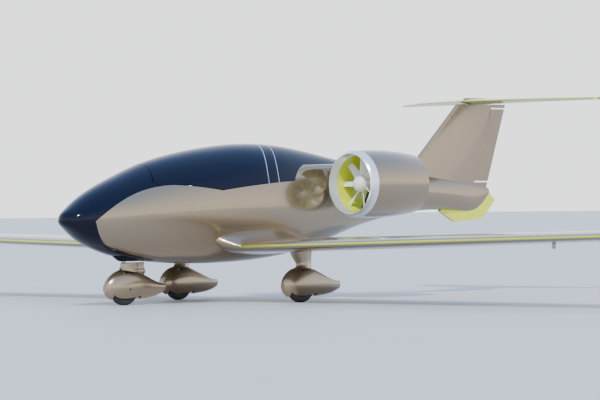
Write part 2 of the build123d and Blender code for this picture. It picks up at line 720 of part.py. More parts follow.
liners, lips, pods, pylons = [], [], [], []
for side, sign in SIDES:
    axis = Axis((sign * DUCT_X, 0, DUCT_HEIGHT), (0, 1, 0))
    half_view = Plane(origin=(sign * DUCT_X, 0, DUCT_HEIGHT), x_dir=(0, 1, 0), z_dir=(1, 0, 0))

    with BuildPart() as nacelle_form:
        with BuildSketch(half_view):
            with BuildLine():
                Line((aft(lip_foot), liner_r), (aft(lip_foot), LIP_FOOT_R))
                ThreePointArc(
                    (aft(lip_foot), LIP_FOOT_R), (aft(CREST_STATION), DUCT_R), (aft(DUCT_REAR), REAR_R)
                )
                Polyline(
                    (aft(DUCT_REAR), REAR_R), (aft(DUCT_REAR), liner_r), (aft(lip_foot), liner_r)
                )
            make_face()
        revolve(axis=axis)

    with BuildPart() as nacelle:
        add(nacelle_form.part)
        with BuildSketch(half_view):
            with BuildLine():
                ThreePointArc(
                    (aft(lip_foot), LIP_FOOT_R - NACELLE_WALL),
                    (aft(CREST_STATION), DUCT_R - NACELLE_WALL),
                    (aft(DUCT_REAR), REAR_R - NACELLE_WALL),
                )
                Polyline(
                    (aft(DUCT_REAR), REAR_R - NACELLE_WALL),
                    (aft(DUCT_REAR), 0),
                    (aft(lip_foot), 0),
                    (aft(lip_foot), LIP_FOOT_R - NACELLE_WALL),
                )
            make_face()
        revolve(axis=axis, mode=Mode.SUBTRACT)
    write(nacelle.part, "nacelle_" + side)

    with BuildPart() as lip:
        with BuildSketch(half_view):
            with BuildLine():
                Line((aft(lip_foot), BORE_R), (aft(lip_foot), LIP_FOOT_R))
                ThreePointArc(
                    (aft(lip_foot), LIP_FOOT_R),
                    (aft(DUCT_FRONT + LIP_ROUND), LIP_R + LIP_BULGE),
                    (aft(DUCT_FRONT), LIP_R - LIP_ROUND / 2),
                )
                ThreePointArc(
                    (aft(DUCT_FRONT), LIP_R - LIP_ROUND / 2),
                    (aft(DUCT_FRONT + LIP_ROUND), LIP_BORE_R),
                    (aft(lip_foot), BORE_R),
                )
            make_face()
        revolve(axis=axis)
    lips.append(lip.part)

    with BuildPart() as liner:
        with BuildSketch(half_view):
            with Locations((aft((lip_foot + DUCT_REAR) / 2), (BORE_R + liner_r) / 2)):
                Rectangle(DUCT_REAR - lip_foot, LINER_THICK)
        revolve(axis=axis)
    liners.append(liner.part)

    with BuildPart() as bore_space:
        with BuildSketch(across(aft(DUCT_REAR))):
            with Locations((sign * DUCT_X, DUCT_HEIGHT)):
                Circle(BORE_R)
        extrude(amount=DUCT_REAR - DUCT_FRONT)

    with BuildPart() as pod:
        with BuildSketch(half_view):
            with BuildLine():
                Polyline(
                    (aft(pod_rear + POD_TAIL), POD_TAIL_R),
                    (aft(pod_rear + POD_TAIL), 0),
                    (aft(pod_front), 0),
                    (aft(pod_front), HUB_R),
                    (aft(pod_rear), HUB_R),
                )
                ThreePointArc(
                    (aft(pod_rear), HUB_R),
                    (aft(pod_rear + POD_TAIL * 0.5), (HUB_R + POD_TAIL_R) * 0.55),
                    (aft(pod_rear + POD_TAIL), POD_TAIL_R),
                )
            make_face()
        revolve(axis=axis)
        vane_middle = aft(pod_front + VANE_OFFSET + VANE_CHORD / 2)
        vane_plane = Plane(
            origin=(sign * DUCT_X, vane_middle, DUCT_HEIGHT), x_dir=(1, 0, 0), z_dir=(0, 1, 0)
        )
        with Locations(vane_plane):
            with PolarLocations(0, VANE_COUNT):
                add(vane.part)
        with BuildSketch(half_view):
            with Locations((aft(pod_front + SHAFT_DEPTH / 2), 0)):
                Rectangle(SHAFT_DEPTH, 2 * (SHAFT_R + PIN_CLEARANCE))
            with Locations((0, -DUCT_R)):
                Rectangle(2 * LENGTH, 2 * DUCT_R, mode=Mode.SUBTRACT)
        revolve(axis=axis, mode=Mode.SUBTRACT)
        add(bore_space.part, mode=Mode.INTERSECT)
    pods.append(pod.part)

    shaft_end = pod_front + SHAFT_DEPTH - POD_GAP
    with BuildPart() as fan:
        fan_plane = Plane(
            origin=(sign * DUCT_X, aft(FAN_STATION), DUCT_HEIGHT), x_dir=(1, 0, 0), z_dir=(0, 1, 0)
        )
        with Locations(fan_plane):
            with PolarLocations(0, BLADE_COUNT):
                add(blade.part)
        with BuildSketch(across(aft(DUCT_REAR))):
            with Locations((sign * DUCT_X, DUCT_HEIGHT)):
                Circle(BORE_R - BLADE_GAP)
        extrude(amount=DUCT_REAR - DUCT_FRONT, mode=Mode.INTERSECT)
        with BuildSketch(half_view):
            with BuildLine():
                EllipticalCenterArc(
                    (aft(hub_front), 0), SPINNER_LENGTH, HUB_R, start_angle=90, arc_size=90
                )
                Polyline(
                    (aft(hub_front) - SPINNER_LENGTH, 0),
                    (aft(shaft_end), 0),
                    (aft(shaft_end), SHAFT_R),
                    (aft(hub_rear), SHAFT_R),
                    (aft(hub_rear), HUB_R),
                    (aft(hub_front), HUB_R),
                )
            make_face()
        revolve(axis=axis)
    write(fan.part, "fan_" + side)

    with BuildPart() as pylon:
        with BuildSketch(along(sign * PYLON_ROOT_X)):
            add(aerofoil(aft(PYLON_FROM), DUCT_HEIGHT, PYLON_CHORD, PYLON_THICK))
        extrude(amount=sign * (PYLON_TIP_X - PYLON_ROOT_X))
        add(hull.part, mode=Mode.SUBTRACT)
        add(nacelle_form.part, mode=Mode.SUBTRACT)
    pylons.append(pylon.part)

for name, pair in (
    ("duct_lips", lips),
    ("duct_liners", liners),
    ("motor_pods", pods),
    ("pylons", pylons),
):
    with BuildPart() as both:
        add(pair)
    write(both.part, name)

# Fin and rudder
tail_bottom = TAIL_HEIGHT - TAIL_THICK / 2
fin_faces = []
for height in (FIN_BOTTOM, FIN_LE_HIGH[1]):
    lead, trail = fin_edges(height)
    section = aerofoil(aft(lead), 0, trail - lead, fin_thickness(height))
    fin_faces.append((level(height), section))
fin_form = lofted(fin_faces)


def rudder_hinge(height):
    """Y and X of the rudder's hinge line at a height, and half the fin's thickness there."""
    lead, trail = fin_edges(height)
    share = (trail - RUDDER_CHORD - lead) / (trail - lead)
    past = (share - CROWN_SHARE) / (1 - CROWN_SHARE)
    return aft(trail - RUDDER_CHORD), 0, fin_thickness(height) / 2 * (1 - past**1.8)


rudder_ends = [
    (level(height),) + rudder_hinge(height)
    for height in (RUDDER_FOOT, tail_bottom - RUDDER_HEAD_RIB)
]
fin_fixed, rudder_form = hinged(fin_form, rudder_ends, RUDDER_END_GAP, HINGE_CHORD_REACH)
write(rudder_form, "rudder")

# Tailplane with its cap, and the elevator in two halves beside the rudder
tail_faces = []
for x, nose, thickness in (
    (-TAIL_HALF_SPAN, TAIL_TIP_LE, TAIL_TIP_THICK),
    (-TAIL_MIDDLE_X, TAIL_MIDDLE_LE, (TAIL_THICK + TAIL_TIP_THICK) / 2),
    (0, TAIL_ROOT_LE, TAIL_THICK),
    (TAIL_MIDDLE_X, TAIL_MIDDLE_LE, (TAIL_THICK + TAIL_TIP_THICK) / 2),
    (TAIL_HALF_SPAN, TAIL_TIP_LE, TAIL_TIP_THICK),
):
    section = aerofoil(aft(nose), TAIL_HEIGHT, LENGTH - nose, thickness)
    tail_faces.append((along(x), section))
tail_form = lofted(tail_faces)
elevator_halves = []
for side, sign in SIDES:
    ends = [
        (along(sign * x), aft(LENGTH - ELEVATOR_CHORD), TAIL_HEIGHT, radius)
        for x, radius in (
            (RUDDER_SWING_ROOM, ELEVATOR_NOSE_R),
            (ELEVATOR_HALF_SPAN, ELEVATOR_TIP_R),
        )
    ]
    tail_form, moving = hinged(tail_form, ends, SURFACE_END_GAP, HINGE_CHORD_REACH)
    elevator_halves.append(moving)
with BuildPart() as elevator:
    add(elevator_halves)
write(elevator.part, "elevator")

with BuildPart() as tailplane:
    add(tail_form)
    with BuildSketch(level(TAIL_HEIGHT)):
        add(aerofoil(aft(CAP_LE), 0, CAP_CHORD, CAP_THICK))
    with BuildSketch(level(CAP_TOP)):
        add(aerofoil(aft(CAP_LE + CAP_RAKE), 0, CAP_CHORD - 2 * CAP_RAKE, CAP_THICK / 2))
    loft(ruled=True)
write(tailplane.part, "tailplane")

with BuildPart() as fin:
    add(fin_fixed)
    add(hull.part, mode=Mode.SUBTRACT)
    add(tailplane.part, mode=Mode.SUBTRACT)
write(fin.part, "fin")

# Tail bumper under the boom, with a hole to tie the tail down
with BuildPart() as tail_bumper:
    with BuildSketch(along(-BUMPER_THICK / 2)):
        with BuildLine():
            Polyline(*[side_point(place) for place in BUMPER_OUTLINE], close=True)
        make_face()
        with Locations(side_point((TAIL_TIE_STATION, TAIL_TIE_HEIGHT))):
            Circle(LUG_HOLE_R, mode=Mode.SUBTRACT)
    extrude(amount=BUMPER_THICK)
    add(hull.part, mode=Mode.SUBTRACT)
    add(fin.part, mode=Mode.SUBTRACT)
write(tail_bumper.part, "tail_bumper")


def wheel_spat(x, y, table, hole_half):
    """Hollow wheel fairing, open below, with holes for the axle."""
    with BuildPart() as spat:
        for run, half_width, widest, top, bottom in table:
            with BuildSketch(across(y + run)):
                with Locations((x, 0)):
                    add(egg(half_width, widest, top, bottom))
        loft()
        with BuildSketch(level(0)):
            with Locations((y, -x)):
                Rectangle(CUT_REACH, CUT_REACH / 2)
        extrude(amount=SPAT_FLOOR, mode=Mode.SUBTRACT)
        with BuildSketch(along(x - TYRE_WIDTH / 2 - WELL_GAP)):
            with Locations((y, TYRE_R)):
                Circle(TYRE_R + WELL_GAP)
            with Locations((y, 0)):
                Rectangle(2 * TYRE_R + 2 * WELL_GAP, 2 * TYRE_R)
        extrude(amount=TYRE_WIDTH + 2 * WELL_GAP, mode=Mode.SUBTRACT)
        with BuildSketch(along(x - hole_half)):
            with Locations((y, TYRE_R)):
                Circle(AXLE_R)
        extrude(amount=2 * hole_half, mode=Mode.SUBTRACT)
    return spat.part


def wheel_tyre(x, y):
    """Tyre round an axle that lies across the airplane."""
    with BuildPart() as tyre:
        with BuildSketch(Plane(origin=(x, y, TYRE_R), x_dir=(1, 0, 0), z_dir=(0, -1, 0))):
            with Locations((0, (TYRE_R + RIM_R) / 2)):
                RectangleRounded(TYRE_WIDTH, TYRE_R - RIM_R, (TYRE_R - RIM_R) * TYRE_ROUNDING)
        revolve(axis=Axis((x, y, TYRE_R), (1, 0, 0)))
    return tyre.part


def wheel_rim(x, y):
    """Rim and hub inside a tyre, turning on its axle."""
    half = RIM_WIDTH / 2
    web = WEB_THICK / 2
    bore = AXLE_R + PIN_CLEARANCE
    well = RIM_R - RIM_WALL
    with BuildPart() as rim:
        with BuildSketch(Plane(origin=(x, y, TYRE_R), x_dir=(1, 0, 0), z_dir=(0, -1, 0))):
            with BuildLine():
                Polyline(
                    (-HUB_HALF, bore),
                    (HUB_HALF, bore),
                    (HUB_HALF, HUB_OUTER_R),
                    (web, HUB_OUTER_R + RIM_WALL),
                    (web, well - RIM_WALL),
                    (half, well),
                    (half, RIM_R),
                    (-half, RIM_R),
                    (-half, well),
                    (-web, well - RIM_WALL),
                    (-web, HUB_OUTER_R + RIM_WALL),
                    (-HUB_HALF, HUB_OUTER_R),
                    close=True,
                )
            make_face()
        revolve(axis=Axis((x, y, TYRE_R), (1, 0, 0)))
    return rim.part


def wheel_axle(x, y):
    """Hollow axle, which a bar can be pushed through."""
    with BuildPart() as axle:
        with BuildSketch(along(x - AXLE_HALF)):
            with Locations((y, TYRE_R)):
                Circle(AXLE_R)
                Circle(AXLE_BORE_R, mode=Mode.SUBTRACT)
        extrude(amount=2 * AXLE_HALF)
    return axle.part


def gear_leg(x, y, low, high):
    """Streamlined leg between two level sections."""
    with BuildPart() as leg:
        for run, chord, thickness, height in (low, high):
            with BuildSketch(level(height)):
                with Locations((0, -x)):
                    add(aerofoil(y + run, 0, chord, thickness))
        loft(ruled=True)
    return leg.part


# Main gear
main_legs, main_axles = [], []
for side, sign in SIDES:
    x, y = sign * MAIN_X, aft(MAIN_STATION)
    spat = wheel_spat(x, y, MAIN_SPAT, AXLE_HALF)
    leg = gear_leg(x, y, MAIN_LEG_LOW, MAIN_LEG_HIGH)
    main_legs.append(leg - wings[side] - spat)
    main_axles.append(wheel_axle(x, y))
    write(spat, "main_spat_" + side)
    write(wheel_tyre(x, y), "main_tyre_" + side)
    write(wheel_rim(x, y), "main_rim_" + side)

for name, pair in (("main_legs", main_legs), ("main_axles", main_axles)):
    with BuildPart() as both:
        add(pair)
    write(both.part, name)

# Nose gear, which turns to steer
nose_y = aft(NOSE_STATION)
nose_spat = wheel_spat(0, nose_y, NOSE_SPAT, TOW_HOLE_HALF)
with BuildPart() as nose_leg:
    add(gear_leg(0, nose_y, NOSE_LEG_LOW, NOSE_LEG_HIGH))
    add(nose_spat, mode=Mode.SUBTRACT)
    with BuildSketch(level(NOSE_LEG_HIGH[3])):
        with Locations((nose_y, 0)):
            Circle(STEER_TUBE_R)
    extrude(amount=STEER_TUBE_TOP - NOSE_LEG_HIGH[3])
write(nose_leg.part, "nose_leg")
write(nose_spat, "nose_spat")
write(wheel_axle(0, nose_y), "nose_axle")
write(wheel_tyre(0, nose_y), "nose_tyre")
write(wheel_rim(0, nose_y), "nose_rim")
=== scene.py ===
import logging
import math
from collections.abc import Callable
from dataclasses import dataclass
from enum import Enum

import bpy
from mathutils import Matrix, Vector


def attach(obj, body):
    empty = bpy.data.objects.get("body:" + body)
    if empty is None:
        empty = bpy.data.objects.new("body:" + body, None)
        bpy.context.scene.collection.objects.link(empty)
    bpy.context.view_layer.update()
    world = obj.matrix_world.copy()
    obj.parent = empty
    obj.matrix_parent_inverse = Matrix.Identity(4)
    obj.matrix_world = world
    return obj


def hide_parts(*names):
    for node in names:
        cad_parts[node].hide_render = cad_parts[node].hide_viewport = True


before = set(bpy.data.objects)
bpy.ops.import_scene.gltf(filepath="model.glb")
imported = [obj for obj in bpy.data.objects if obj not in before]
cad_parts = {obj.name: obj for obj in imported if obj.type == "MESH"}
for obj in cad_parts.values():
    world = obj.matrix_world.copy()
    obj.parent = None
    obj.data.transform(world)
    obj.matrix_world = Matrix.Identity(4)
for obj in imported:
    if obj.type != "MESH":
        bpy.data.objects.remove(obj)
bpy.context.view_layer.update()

LOG = logging.getLogger("electric_airplane")
MM = 0.001
SMOOTH_ANGLE = math.radians(32)
# Steps of a rounded edge
EDGE_STEPS = 3
# A face whose normal has more than this along Y looks aft
FACES_AFT = 0.99
# Distance in metres from the nose tip to the origin
HALF_LENGTH = 3.3

# Colour sockets of the Mix node, whose names are shared by its other data types
MIX_FIRST = 6
MIX_SECOND = 7
MIX_RESULT = 2
# Octaves of the noises for colour, gloss and relief
PATCH_DETAIL = 3.0
GLOSS_DETAIL = 4.0
GRAIN_DETAIL = 2.0
# Blender's wave texture repeats every 2 pi / 20 metres at scale 1
WAVE_PERIOD = math.pi / 10

# Cushion covers: panel size, seam rounding, air pressure and steps of the filling
PAD_VOXEL = 0.012
PAD_SEAM = 0.02
PAD_PRESSURE = 4.0
PAD_STEPS = 20
# The port seat's distance from the middle, and its back's tilt in degrees
SEAT_X = 0.215
SEAT_TILT = -32.2


class Side(Enum):
    """The two sides of the airplane, with the sign of X on each."""

    PORT = 1
    STARBOARD = -1

    @property
    def word(self) -> str:
        """The side's name as the nodes spell it."""
        return self.name.lower()


class Slot(Enum):
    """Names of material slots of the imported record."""

    CHAMPAGNE = "champagne_paint"
    NAVY = "navy_gloss"
    RUBBER = "tyre_rubber"
    RIM = "rim_metal"
    PLASTIC = "cabin_plastic"


def linear(colour: str) -> tuple[float, float, float, float]:
    """Turn an sRGB colour into linear light.

    Args:
        colour: Six hexadecimal digits, red first.

    Returns:
        Red, green, blue and alpha.
    """
    parts = [int(colour[i : i + 2], 16) / 255 for i in (0, 2, 4)]
    light = [p / 12.92 if p <= 0.04045 else ((p + 0.055) / 1.055) ** 2.4 for p in parts]
    return (*light, 1.0)


def add_node(
    tree: bpy.types.NodeTree, kind: str, inputs: dict | None = None, **settings: object
) -> bpy.types.Node:
    """Add a node with its settings and links.

    Args:
        tree: Node tree that it goes in.
        kind: Blender's name for the node, without the prefix ShaderNode.
        inputs: Socket name or number, and the value or output socket that feeds it.
        **settings: The node's own properties.

    Returns:
        The new node.
    """
    node = tree.nodes.new("ShaderNode" + kind)
    for name, value in settings.items():
        setattr(node, name, value)
    for key, value in (inputs or {}).items():
        if isinstance(value, bpy.types.NodeSocket):
            tree.links.new(value, node.inputs[key])
        else:
            node.inputs[key].default_value = value
    return node


def calculated(
    tree: bpy.types.NodeTree, operation: str, *values: object
) -> bpy.types.NodeSocket:
    """Add a Math node.

    Args:
        tree: Node tree that it goes in.
        operation: Blender's name for the operation.
        *values: The numbers or output sockets that feed it, in order.

    Returns:
        The result's socket.
    """
    return add_node(tree, "Math", dict(enumerate(values)), operation=operation).outputs[0]


def mixed(
    tree: bpy.types.NodeTree, share: object, first: object, second: object
) -> bpy.types.NodeSocket:
    """Mix two colours.

    Args:
        tree: Node tree that it goes in.
        share: Socket with the second colour's share, from 0 to 1.
        first: Colour or socket seen where the share is 0.
        second: Colour or socket seen where the share is 1.

    Returns:
        The mixed colour's socket.
    """
    sockets = {0: share, MIX_FIRST: first, MIX_SECOND: second}
    return add_node(tree, "Mix", sockets, data_type="RGBA").outputs[MIX_RESULT]


def circle_through(
    first: tuple[float, float], middle: tuple[float, float], last: tuple[float, float]
) -> tuple[float, float, float]:
    """Find the circle through three points of the side view.

    Args:
        first: Y and Z of one end.
        middle: Y and Z of a point between.
        last: Y and Z of the other end.

    Returns:
        Y and Z of the centre, and the radius.
    """
    (ay, az), (by, bz), (cy, cz) = first, middle, last
    twice = 2 * (ay * (bz - cz) + by * (cz - az) + cy * (az - bz))
    a, b, c = ay**2 + az**2, by**2 + bz**2, cy**2 + cz**2
    y = (a * (bz - cz) + b * (cz - az) + c * (az - bz)) / twice
    z = (a * (cy - by) + b * (ay - cy) + c * (by - ay)) / twice
    return y, z, math.hypot(ay - y, az - z)


@dataclass(frozen=True)
class Finish:
    """A surface finish: its shader values and the patterns that lie on it."""

    name: str
    colour: str
    second: str
    patch_mm: float
    roughness: tuple[float, float]
    grain_mm: float
    grain_depth_mm: float
    metallic: float = 0.0
    ior: float = 1.5
    coat: float = 0.0
    coat_roughness: float = 0.03
    sheen: float = 0.0

    def tint(
        self, tree: bpy.types.NodeTree, place: bpy.types.NodeSocket
    ) -> bpy.types.NodeSocket:
        """Mix the finish's two close tones in slow patches.

        Args:
            tree: The material's node tree.
            place: Object coordinates in metres.

        Returns:
            The colour socket.
        """
        patches = add_node(
            tree,
            "TexNoise",
            {"Vector": place, "Scale": 1 / (self.patch_mm * MM), "Detail": PATCH_DETAIL},
        )
        return mixed(tree, patches.outputs["Fac"], linear(self.colour), linear(self.second))

    def height(
        self, tree: bpy.types.NodeTree, place: bpy.types.NodeSocket
    ) -> bpy.types.NodeSocket:
        """Draw the fine relief as a height from 0 to 1.

        Args:
            tree: The material's node tree.
            place: Object coordinates in metres.

        Returns:
            The height socket.
        """
        return add_node(
            tree,
            "TexNoise",
            {"Vector": place, "Scale": 1 / (self.grain_mm * MM), "Detail": GRAIN_DETAIL},
        ).outputs["Fac"]

    def build(self) -> bpy.types.Material:
        """Make the material.

        Returns:
            The material, with its nodes on Object coordinates.
        """
        material = bpy.data.materials.new(self.name)
        material.use_nodes = True
        tree = material.node_tree
        tree.nodes.clear()
        place = add_node(tree, "TexCoord").outputs["Object"]
        cloud = add_node(
            tree,
            "TexNoise",
            {"Vector": place, "Scale": 2 / (self.patch_mm * MM), "Detail": GLOSS_DETAIL},
        )
        smoothest, roughest = self.roughness
        gloss = add_node(
            tree,
            "MapRange",
            {"Value": cloud.outputs["Fac"], "To Min": smoothest, "To Max": roughest},
        )
        bump = add_node(
            tree,
            "Bump",
            {
                "Height": self.height(tree, place),
                "Distance": self.grain_depth_mm * MM,
                "Strength": 1.0,
            },
        )
        shader = add_node(
            tree,
            "BsdfPrincipled",
            {
                "Base Color": self.tint(tree, place),
                "Roughness": gloss.outputs[0],
                "Metallic": self.metallic,
                "IOR": self.ior,
                "Coat Weight": self.coat,
                "Coat Roughness": self.coat_roughness,
                "Sheen Weight": self.sheen,
                "Normal": bump.outputs[0],
            },
        )
        add_node(tree, "OutputMaterial", {"Surface": shader.outputs[0]})
        return material


@dataclass(frozen=True)
class StripedPaint(Finish):
    """Paint with a band of a second colour along a leading edge."""

    band: str = "D9E23A"
    # The edge's Y at the middle of the airplane, and its change with the distance out
    edge_lines: tuple[tuple[float, float], ...] = ((0.0, 0.0),)
    # How far aft of the edge the band may reach
    reach: float = 0.1
    # The band's height at the middle of the airplane, and its change with the distance out
    height_line: tuple[float, float] = (0.0, 0.0)
    half_height: float = 0.02
    from_x: float = 0.0

    def tint(
        self, tree: bpy.types.NodeTree, place: bpy.types.NodeSocket
    ) -> bpy.types.NodeSocket:
        """Lay the band over the paint's own tones.

        Args:
            tree: The material's node tree.
            place: Object coordinates in metres.

        Returns:
            The colour socket.
        """
        paint = Finish.tint(self, tree, place)
        x, y, z = add_node(tree, "SeparateXYZ", {0: place}).outputs
        out = calculated(tree, "ABSOLUTE", x)
        edge = None
        for start, slope in self.edge_lines:
            line = calculated(tree, "MULTIPLY_ADD", out, slope, start + self.reach)
            edge = line if edge is None else calculated(tree, "MAXIMUM", edge, line)
        ahead = calculated(tree, "LESS_THAN", y, edge)
        middle_at_root, rise = self.height_line
        middle = calculated(tree, "MULTIPLY_ADD", out, rise, middle_at_root)
        near = calculated(tree, "COMPARE", z, middle, self.half_height)
        outboard = calculated(tree, "GREATER_THAN", out, self.from_x)
        mask = calculated(tree, "MULTIPLY", calculated(tree, "MULTIPLY", ahead, near), outboard)
        return mixed(tree, mask, paint, linear(self.band))


@dataclass(frozen=True)
class SeamedGloss(Finish):
    """Dark gloss with thin pale lines along the canopy seams, painted highlights of the seam
    edges.
    """

    # Colour of the painted highlights along the seams, and their half width
    line: str = "9AA6B8"
    half_width: float = 0.004
    # Y and Z of three points for each arc
    arcs: tuple[tuple[tuple[float, float], ...], ...] = ()

    def tint(
        self, tree: bpy.types.NodeTree, place: bpy.types.NodeSocket
    ) -> bpy.types.NodeSocket:
        """Lay the painted seam highlights over the gloss.

        Args:
            tree: The material's node tree.
            place: Object coordinates in metres.

        Returns:
            The colour socket.
        """
        colour = Finish.tint(self, tree, place)
        flat = add_node(tree, "VectorMath", {0: place, 1: (0.0, 1.0, 1.0)}, operation="MULTIPLY")
        for points in self.arcs:
            y, z, radius = circle_through(*points)
            away = add_node(
                tree, "VectorMath", {0: flat.outputs[0], 1: (0.0, y, z)}, operation="DISTANCE"
            )
            # Painted highlight: a pale band along the seam arc, where its edges would catch the
            # light
            on_seam_highlight = calculated(
                tree, "COMPARE", away.outputs["Value"], radius, self.half_width
            )
            colour = mixed(tree, on_seam_highlight, colour, linear(self.line))
        return colour


@dataclass(frozen=True)
class WovenCloth(Finish):
    """Cloth of crossing threads, drawn at a spacing that shows."""

    thread_mm: float = 1.5

    def height(
        self, tree: bpy.types.NodeTree, place: bpy.types.NodeSocket
    ) -> bpy.types.NodeSocket:
        """Cross two sets of threads.

        Args:
            tree: The material's node tree.
            place: Object coordinates in metres.

        Returns:
            The height socket.
        """
        threads = []
        for direction in ("X", "Z"):
            wave = add_node(
                tree,
                "TexWave",
                {"Vector": place, "Scale": WAVE_PERIOD / (self.thread_mm * MM)},
                bands_direction=direction,
            )
            threads.append(wave.outputs["Fac"])
        return calculated(tree, "MAXIMUM", *threads)


@dataclass(frozen=True)
class TurnedMetal(Finish):
    """Metal turned about an axis along Y, with fine rings left by the tool."""

    centre: tuple[float, float] = (0.0, 0.0)
    ring_mm: float = 3.0

    def height(
        self, tree: bpy.types.NodeTree, place: bpy.types.NodeSocket
    ) -> bpy.types.NodeSocket:
        """Draw rings about the axis.

        Args:
            tree: The material's node tree.
            place: Object coordinates in metres.

        Returns:
            The height socket.
        """
        x, _, z = add_node(tree, "SeparateXYZ", {0: place}).outputs
        flat = add_node(
            tree, "CombineXYZ", {0: calculated(tree, "ABSOLUTE", x), 1: 0.0, 2: z}
        )
        away = add_node(
            tree,
            "VectorMath",
            {0: flat.outputs[0], 1: (self.centre[0], 0.0, self.centre[1])},
            operation="DISTANCE",
        )
        phase = calculated(
            tree, "MULTIPLY", away.outputs["Value"], math.tau / (self.ring_mm * MM)
        )
        return calculated(tree, "SINE", phase)


# X and Z of the port duct's axis
DUCT_AXIS = (0.8, 1.245)
# Leading edges: Y at the middle of the airplane, and the sweep per metre out
WING_EDGE = (-1.4826, 0.04204)
TAIL_EDGES = ((2.5, 0.2222), (2.177, 0.5811))
# Seams of the canopy's rear frame: Y and Z of three points
SEAM_FRONT = ((-0.66, 1.72), (-0.85, 1.5), (-0.928, 1.258))
SEAM_REAR = ((-0.508, 1.72), (-0.7, 1.5), (-0.775, 1.258))

CHAMPAGNE = dict(
    colour="96856C",
    second="907F67",
    patch_mm=900,
    roughness=(0.24, 0.28),
    grain_mm=2.5,
    grain_depth_mm=0.004,
    metallic=0.85,
    coat=0.8,
    coat_roughness=0.03,
)
# Metallic paint under clear lacquer: broad soft highlights with a sharper lacquer gleam on them
PEARL_PAINT = Finish("champagne_metallic_lacquer", **CHAMPAGNE)
# The same paint with the green band that is masked and sprayed along the leading edge
WING_PAINT = StripedPaint(
    "champagne_lacquer_green_wing_edge",
    **CHAMPAGNE,
    edge_lines=(WING_EDGE,),
    height_line=(0.582, 0.02112),
    half_height=0.011,
    from_x=0.655,
)
TAIL_PAINT = StripedPaint(
    "champagne_lacquer_green_tail_edge",
    **CHAMPAGNE,
    edge_lines=TAIL_EDGES,
    reach=0.07,
    height_line=(2.185, 0.0),
    half_height=0.02,
)
# Deep blue-black acrylic and lacquer, polished: mirror-like with a blue depth, with painted
# highlights along the canopy seams
NAVY_GLOSS = SeamedGloss(
    "navy_acrylic_and_lacquer",
    colour="070C20",
    second="060A1A",
    patch_mm=700,
    roughness=(0.05, 0.08),
    grain_mm=40,
    grain_depth_mm=0.01,
    ior=1.25,
    coat=0.08,
    coat_roughness=0.02,
    arcs=(SEAM_FRONT, SEAM_REAR),
)
# Bright green polyurethane enamel: even colour, moderate gloss
LIME_ENAMEL = Finish(
    "lime_polyurethane_enamel",
    colour="D6DF32",
    second="CED72C",
    patch_mm=300,
    roughness=(0.28, 0.36),
    grain_mm=3,
    grain_depth_mm=0.01,
    coat=0.3,
)
# Spun and anodised aluminium: pale, satin, with rings that stretch the highlight
LIP_METAL = TurnedMetal(
    "spun_anodised_aluminium",
    colour="E4E5EC",
    second="DADCE4",
    patch_mm=200,
    roughness=(0.22, 0.3),
    grain_mm=2,
    grain_depth_mm=0.004,
    metallic=0.6,
    centre=DUCT_AXIS,
)
# Painted carbon blades: white satin with a faint moulded ripple
FAN_PAINT = Finish(
    "white_satin_blade_paint",
    colour="E9EBE4",
    second="DFE2D8",
    patch_mm=120,
    roughness=(0.3, 0.38),
    grain_mm=6,
    grain_depth_mm=0.02,
    coat=0.25,
)
# Hard anodised motor casing: dark grey metal with a dry sheen
POD_METAL = TurnedMetal(
    "hard_anodised_casing",
    colour="70757A",
    second="666B70",
    patch_mm=90,
    roughness=(0.4, 0.5),
    grain_mm=1.5,
    grain_depth_mm=0.01,
    metallic=0.9,
    centre=DUCT_AXIS,
)
# Carbon-black rubber, moulded: dull, slightly dusty on the tread
TYRE_RUBBER = Finish(
    "moulded_tyre_rubber",
    colour="1B1B1C",
    second="2A2927",
    patch_mm=60,
    roughness=(0.62, 0.8),
    grain_mm=1.2,
    grain_depth_mm=0.08,
)
# Cast and machined aluminium wheel: bright but soft
RIM_ALLOY = Finish(
    "machined_cast_aluminium",
    colour="B9BCC0",
    second="A9ACB0",
    patch_mm=40,
    roughness=(0.3, 0.42),
    grain_mm=0.8,
    grain_depth_mm=0.02,
    metallic=1.0,
)
# Ground axle steel, lightly oiled
AXLE_STEEL = Finish(
    "ground_axle_steel",
    colour="8E9094",
    second="7F8185",
    patch_mm=30,
    roughness=(0.22, 0.35),
    grain_mm=0.6,
    grain_depth_mm=0.01,
    metallic=1.0,
)
# Woven polyester seat cloth: matt with a soft nap
SEAT_CLOTH = WovenCloth(
    "woven_seat_cloth",
    colour="34373E",
    second="2C2F35",
    patch_mm=80,
    roughness=(0.8, 0.92),
    grain_mm=1,
    grain_depth_mm=0.35,
    sheen=0.35,
)
# Lime headrest cloth of the same weave
ACCENT_CLOTH = WovenCloth(
    "lime_seat_cloth",
    colour="B9C43A",
    second="AEB934",
    patch_mm=80,
    roughness=(0.8, 0.9),
    grain_mm=1,
    grain_depth_mm=0.3,
    sheen=0.25,
)
# Pebble-grained cabin moulding
CABIN_PLASTIC = Finish(
    "pebbled_cabin_plastic",
    colour="2A2C30",
    second="25272B",
    patch_mm=120,
    roughness=(0.55, 0.66),
    grain_mm=1.6,
    grain_depth_mm=0.12,
)
# Powder-coated sheet steel case: orange-peel ripple
BATTERY_POWDER = Finish(
    "powder_coated_case",
    colour="3A4046",
    second="353A40",
    patch_mm=150,
    roughness=(0.45, 0.55),
    grain_mm=2,
    grain_depth_mm=0.05,
)
# Display glass, off: black and mirror-like
SCREEN_GLASS = Finish(
    "display_cover_glass",
    colour="06090D",
    second="080B10",
    patch_mm=200,
    roughness=(0.03, 0.06),
    grain_mm=50,
    grain_depth_mm=0.002,
    coat=1.0,
)
# Painted studio floor: pale, nearly matt
FLOOR_PAINT = Finish(
    "pale_studio_floor",
    colour="BDBCBA",
    second="B8B7B5",
    patch_mm=4000,
    roughness=(0.5, 0.6),
    grain_mm=20,
    grain_depth_mm=0.05,
)


